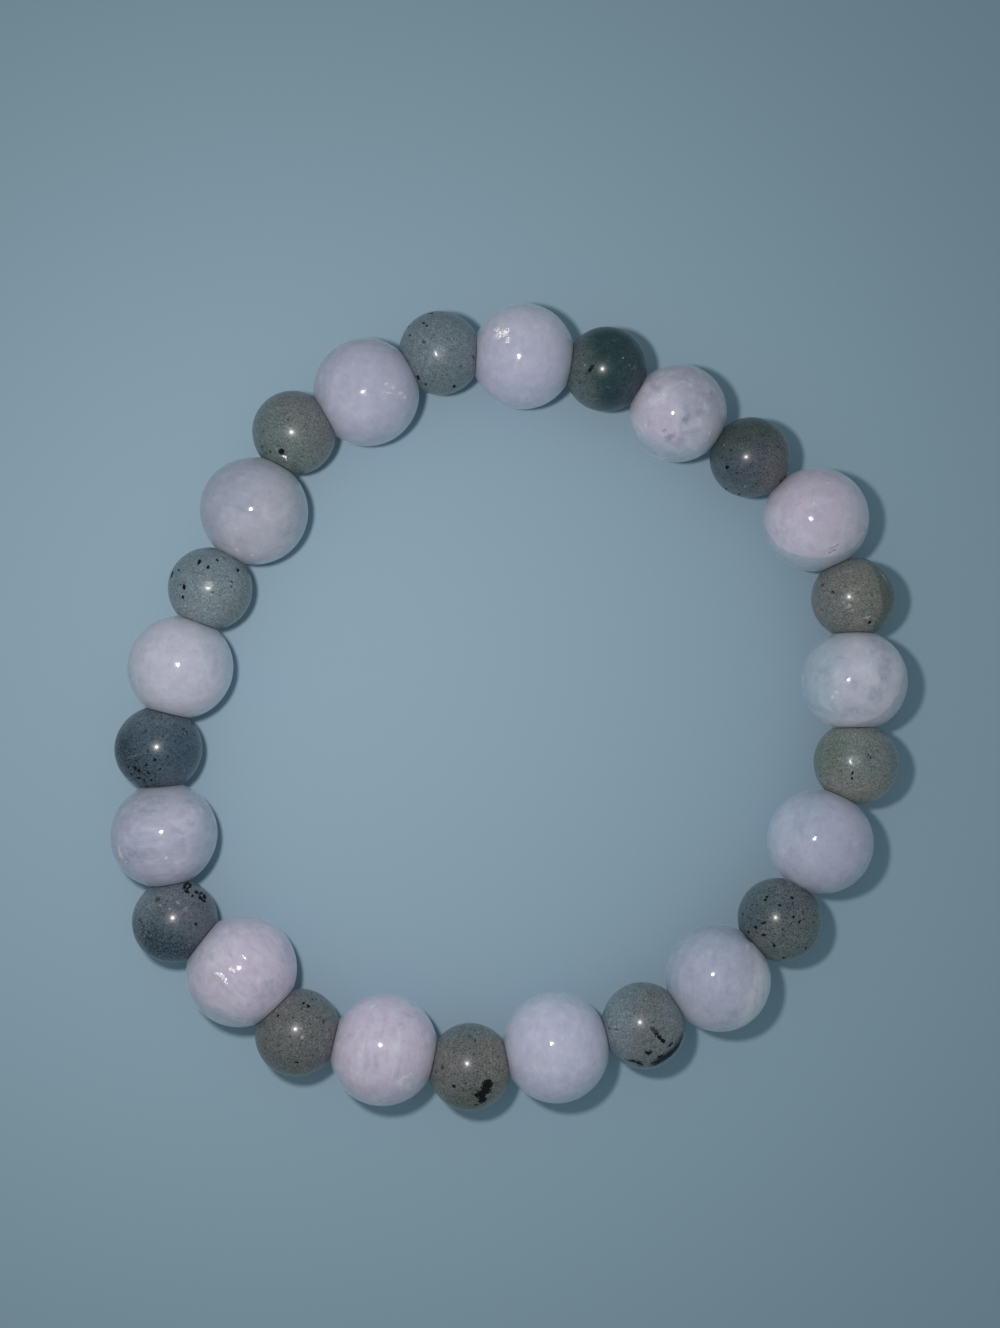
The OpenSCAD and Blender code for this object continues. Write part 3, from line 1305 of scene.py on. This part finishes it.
def grey_stone(name, bead, look):
    """Polished feldspar-like stone with pepper, black inclusions and a faint bright dust."""
    shader = Shader(name)
    here = shader.millimetres()
    sample = shader.millimetres(shift=GREY_SHIFT * bead.number)
    wobble = shader.noise(sample, 0.45, detail=3.0)

    stone = zoned(shader, here, wobble, bead, look)
    stone = mottled(shader, sample, look, stone)
    stone, grains = peppered(shader, here, sample, wobble, bead, look, stone)
    stone = dusted(shader, sample, stone)
    stone = grey_marked(shader, here, bead, look, stone)

    normal = shader.bump(shader.noise(sample, 1.6), GREY_RIPPLE)
    normal = shader.bump(grains, GRAIN_HEIGHT, normal)
    if look.glitter:
        stone, normal, _ = glittering(shader, here, sample, bead, look, stone, normal)
    shader.set("Base Color", stone)
    duller_where_dark = {"Value": stone, "From Max": DARK, "To Min": 0.9, "To Max": 0.36}
    shader.set("Roughness", shader.add("ShaderNodeMapRange", 0, duller_where_dark))
    shader.set("IOR", 1.52)
    shader.set("Specular IOR Level", 0.35)
    shader.set("Subsurface Weight", shader.step(stone, 0.0, CLEAR, GREY_CLEARNESS))
    shader.set("Subsurface Radius", (0.8, 1.0, 1.0))
    shader.set("Subsurface Scale", 0.0015)
    shader.set("Coat Weight", shader.step(stone, 0.0, DARK, GREY_COAT))
    shader.set("Coat Roughness", 0.18)
    shader.set("Normal", normal)
    return shader.material


# Thread


THREAD_SIDES = 24
BEND_REACH = 0.8
BEND_STEPS = 6
STRAIGHT_STEPS = 4
CLEAR_CORD = (0.80, 0.83, 0.84)
CLOUDY_CORD = (0.92, 0.93, 0.93)
FLOW_MARK_HEIGHT = 0.01


def thread_line(crossings):
    """The thread's middle line: straight in each bead, and rounded where it bends at a joint."""
    line = []
    count = len(crossings)
    for i, bend in enumerate(crossings):
        before, after = crossings[i - 1], crossings[(i + 1) % count]
        entry = bend + unit(before - bend) * BEND_REACH
        leave = bend + unit(after - bend) * BEND_REACH
        for t in np.linspace(0, 1, BEND_STEPS + 1):
            line.append((1 - t) ** 2 * entry + 2 * t * (1 - t) * bend + t**2 * leave)
        to_next = after + unit(bend - after) * BEND_REACH
        for t in np.linspace(0, 1, STRAIGHT_STEPS + 1)[1:-1]:
            line.append(leave + (to_next - leave) * t)
    return np.array(line)


def thread_points(crossings):
    line = thread_line(crossings)
    turns = np.linspace(0, 2 * np.pi, THREAD_SIDES, endpoint=False)
    rings = []
    for i, middle in enumerate(line):
        way = unit(line[(i + 1) % len(line)] - line[i - 1])
        rings.append(middle + THREAD_RADIUS * turned(np.cross(UP, way), turns))
    return np.concatenate(rings)


def clear_elastic(name):
    """Clear stretch cord, a little cloudy, with fine flow marks."""
    shader = Shader(name)
    here = shader.millimetres()
    cloudy = shader.noise(here, 1.5, detail=4.0)
    shader.set("Base Color", shader.mix(cloudy, colour(*CLEAR_CORD), colour(*CLOUDY_CORD)))
    shader.set("Roughness", 0.22)
    shader.set("IOR", 1.49)
    shader.set("Transmission Weight", 0.5)
    shader.set("Normal", shader.bump(shader.noise(here, 6.0, detail=3.0), FLOW_MARK_HEIGHT))
    return shader.material


# Scene


bpy.context.scene.view_settings.view_transform = "Standard"
make_camera()
make_lights()
make_floor()

beads, crossings = read_layout()
for bead in beads:
    look = LOOKS[bead.number]
    kind = "white_stone" if bead.white else "grey_stone"
    name = f"{kind}_{(bead.number + 1) // 2:02d}"
    make_material = white_stone if bead.white else grey_stone
    mesh = tube_mesh(name, bead_rings(bead, look.dents), AROUND)
    add_piece(mesh, make_material(name, bead, look), bead.centre, bead.node)

cord_mesh = tube_mesh("elastic_cord", thread_points(crossings), THREAD_SIDES)
add_piece(cord_mesh, clear_elastic("elastic_cord"), (0, 0, 0), "elastic_thread")
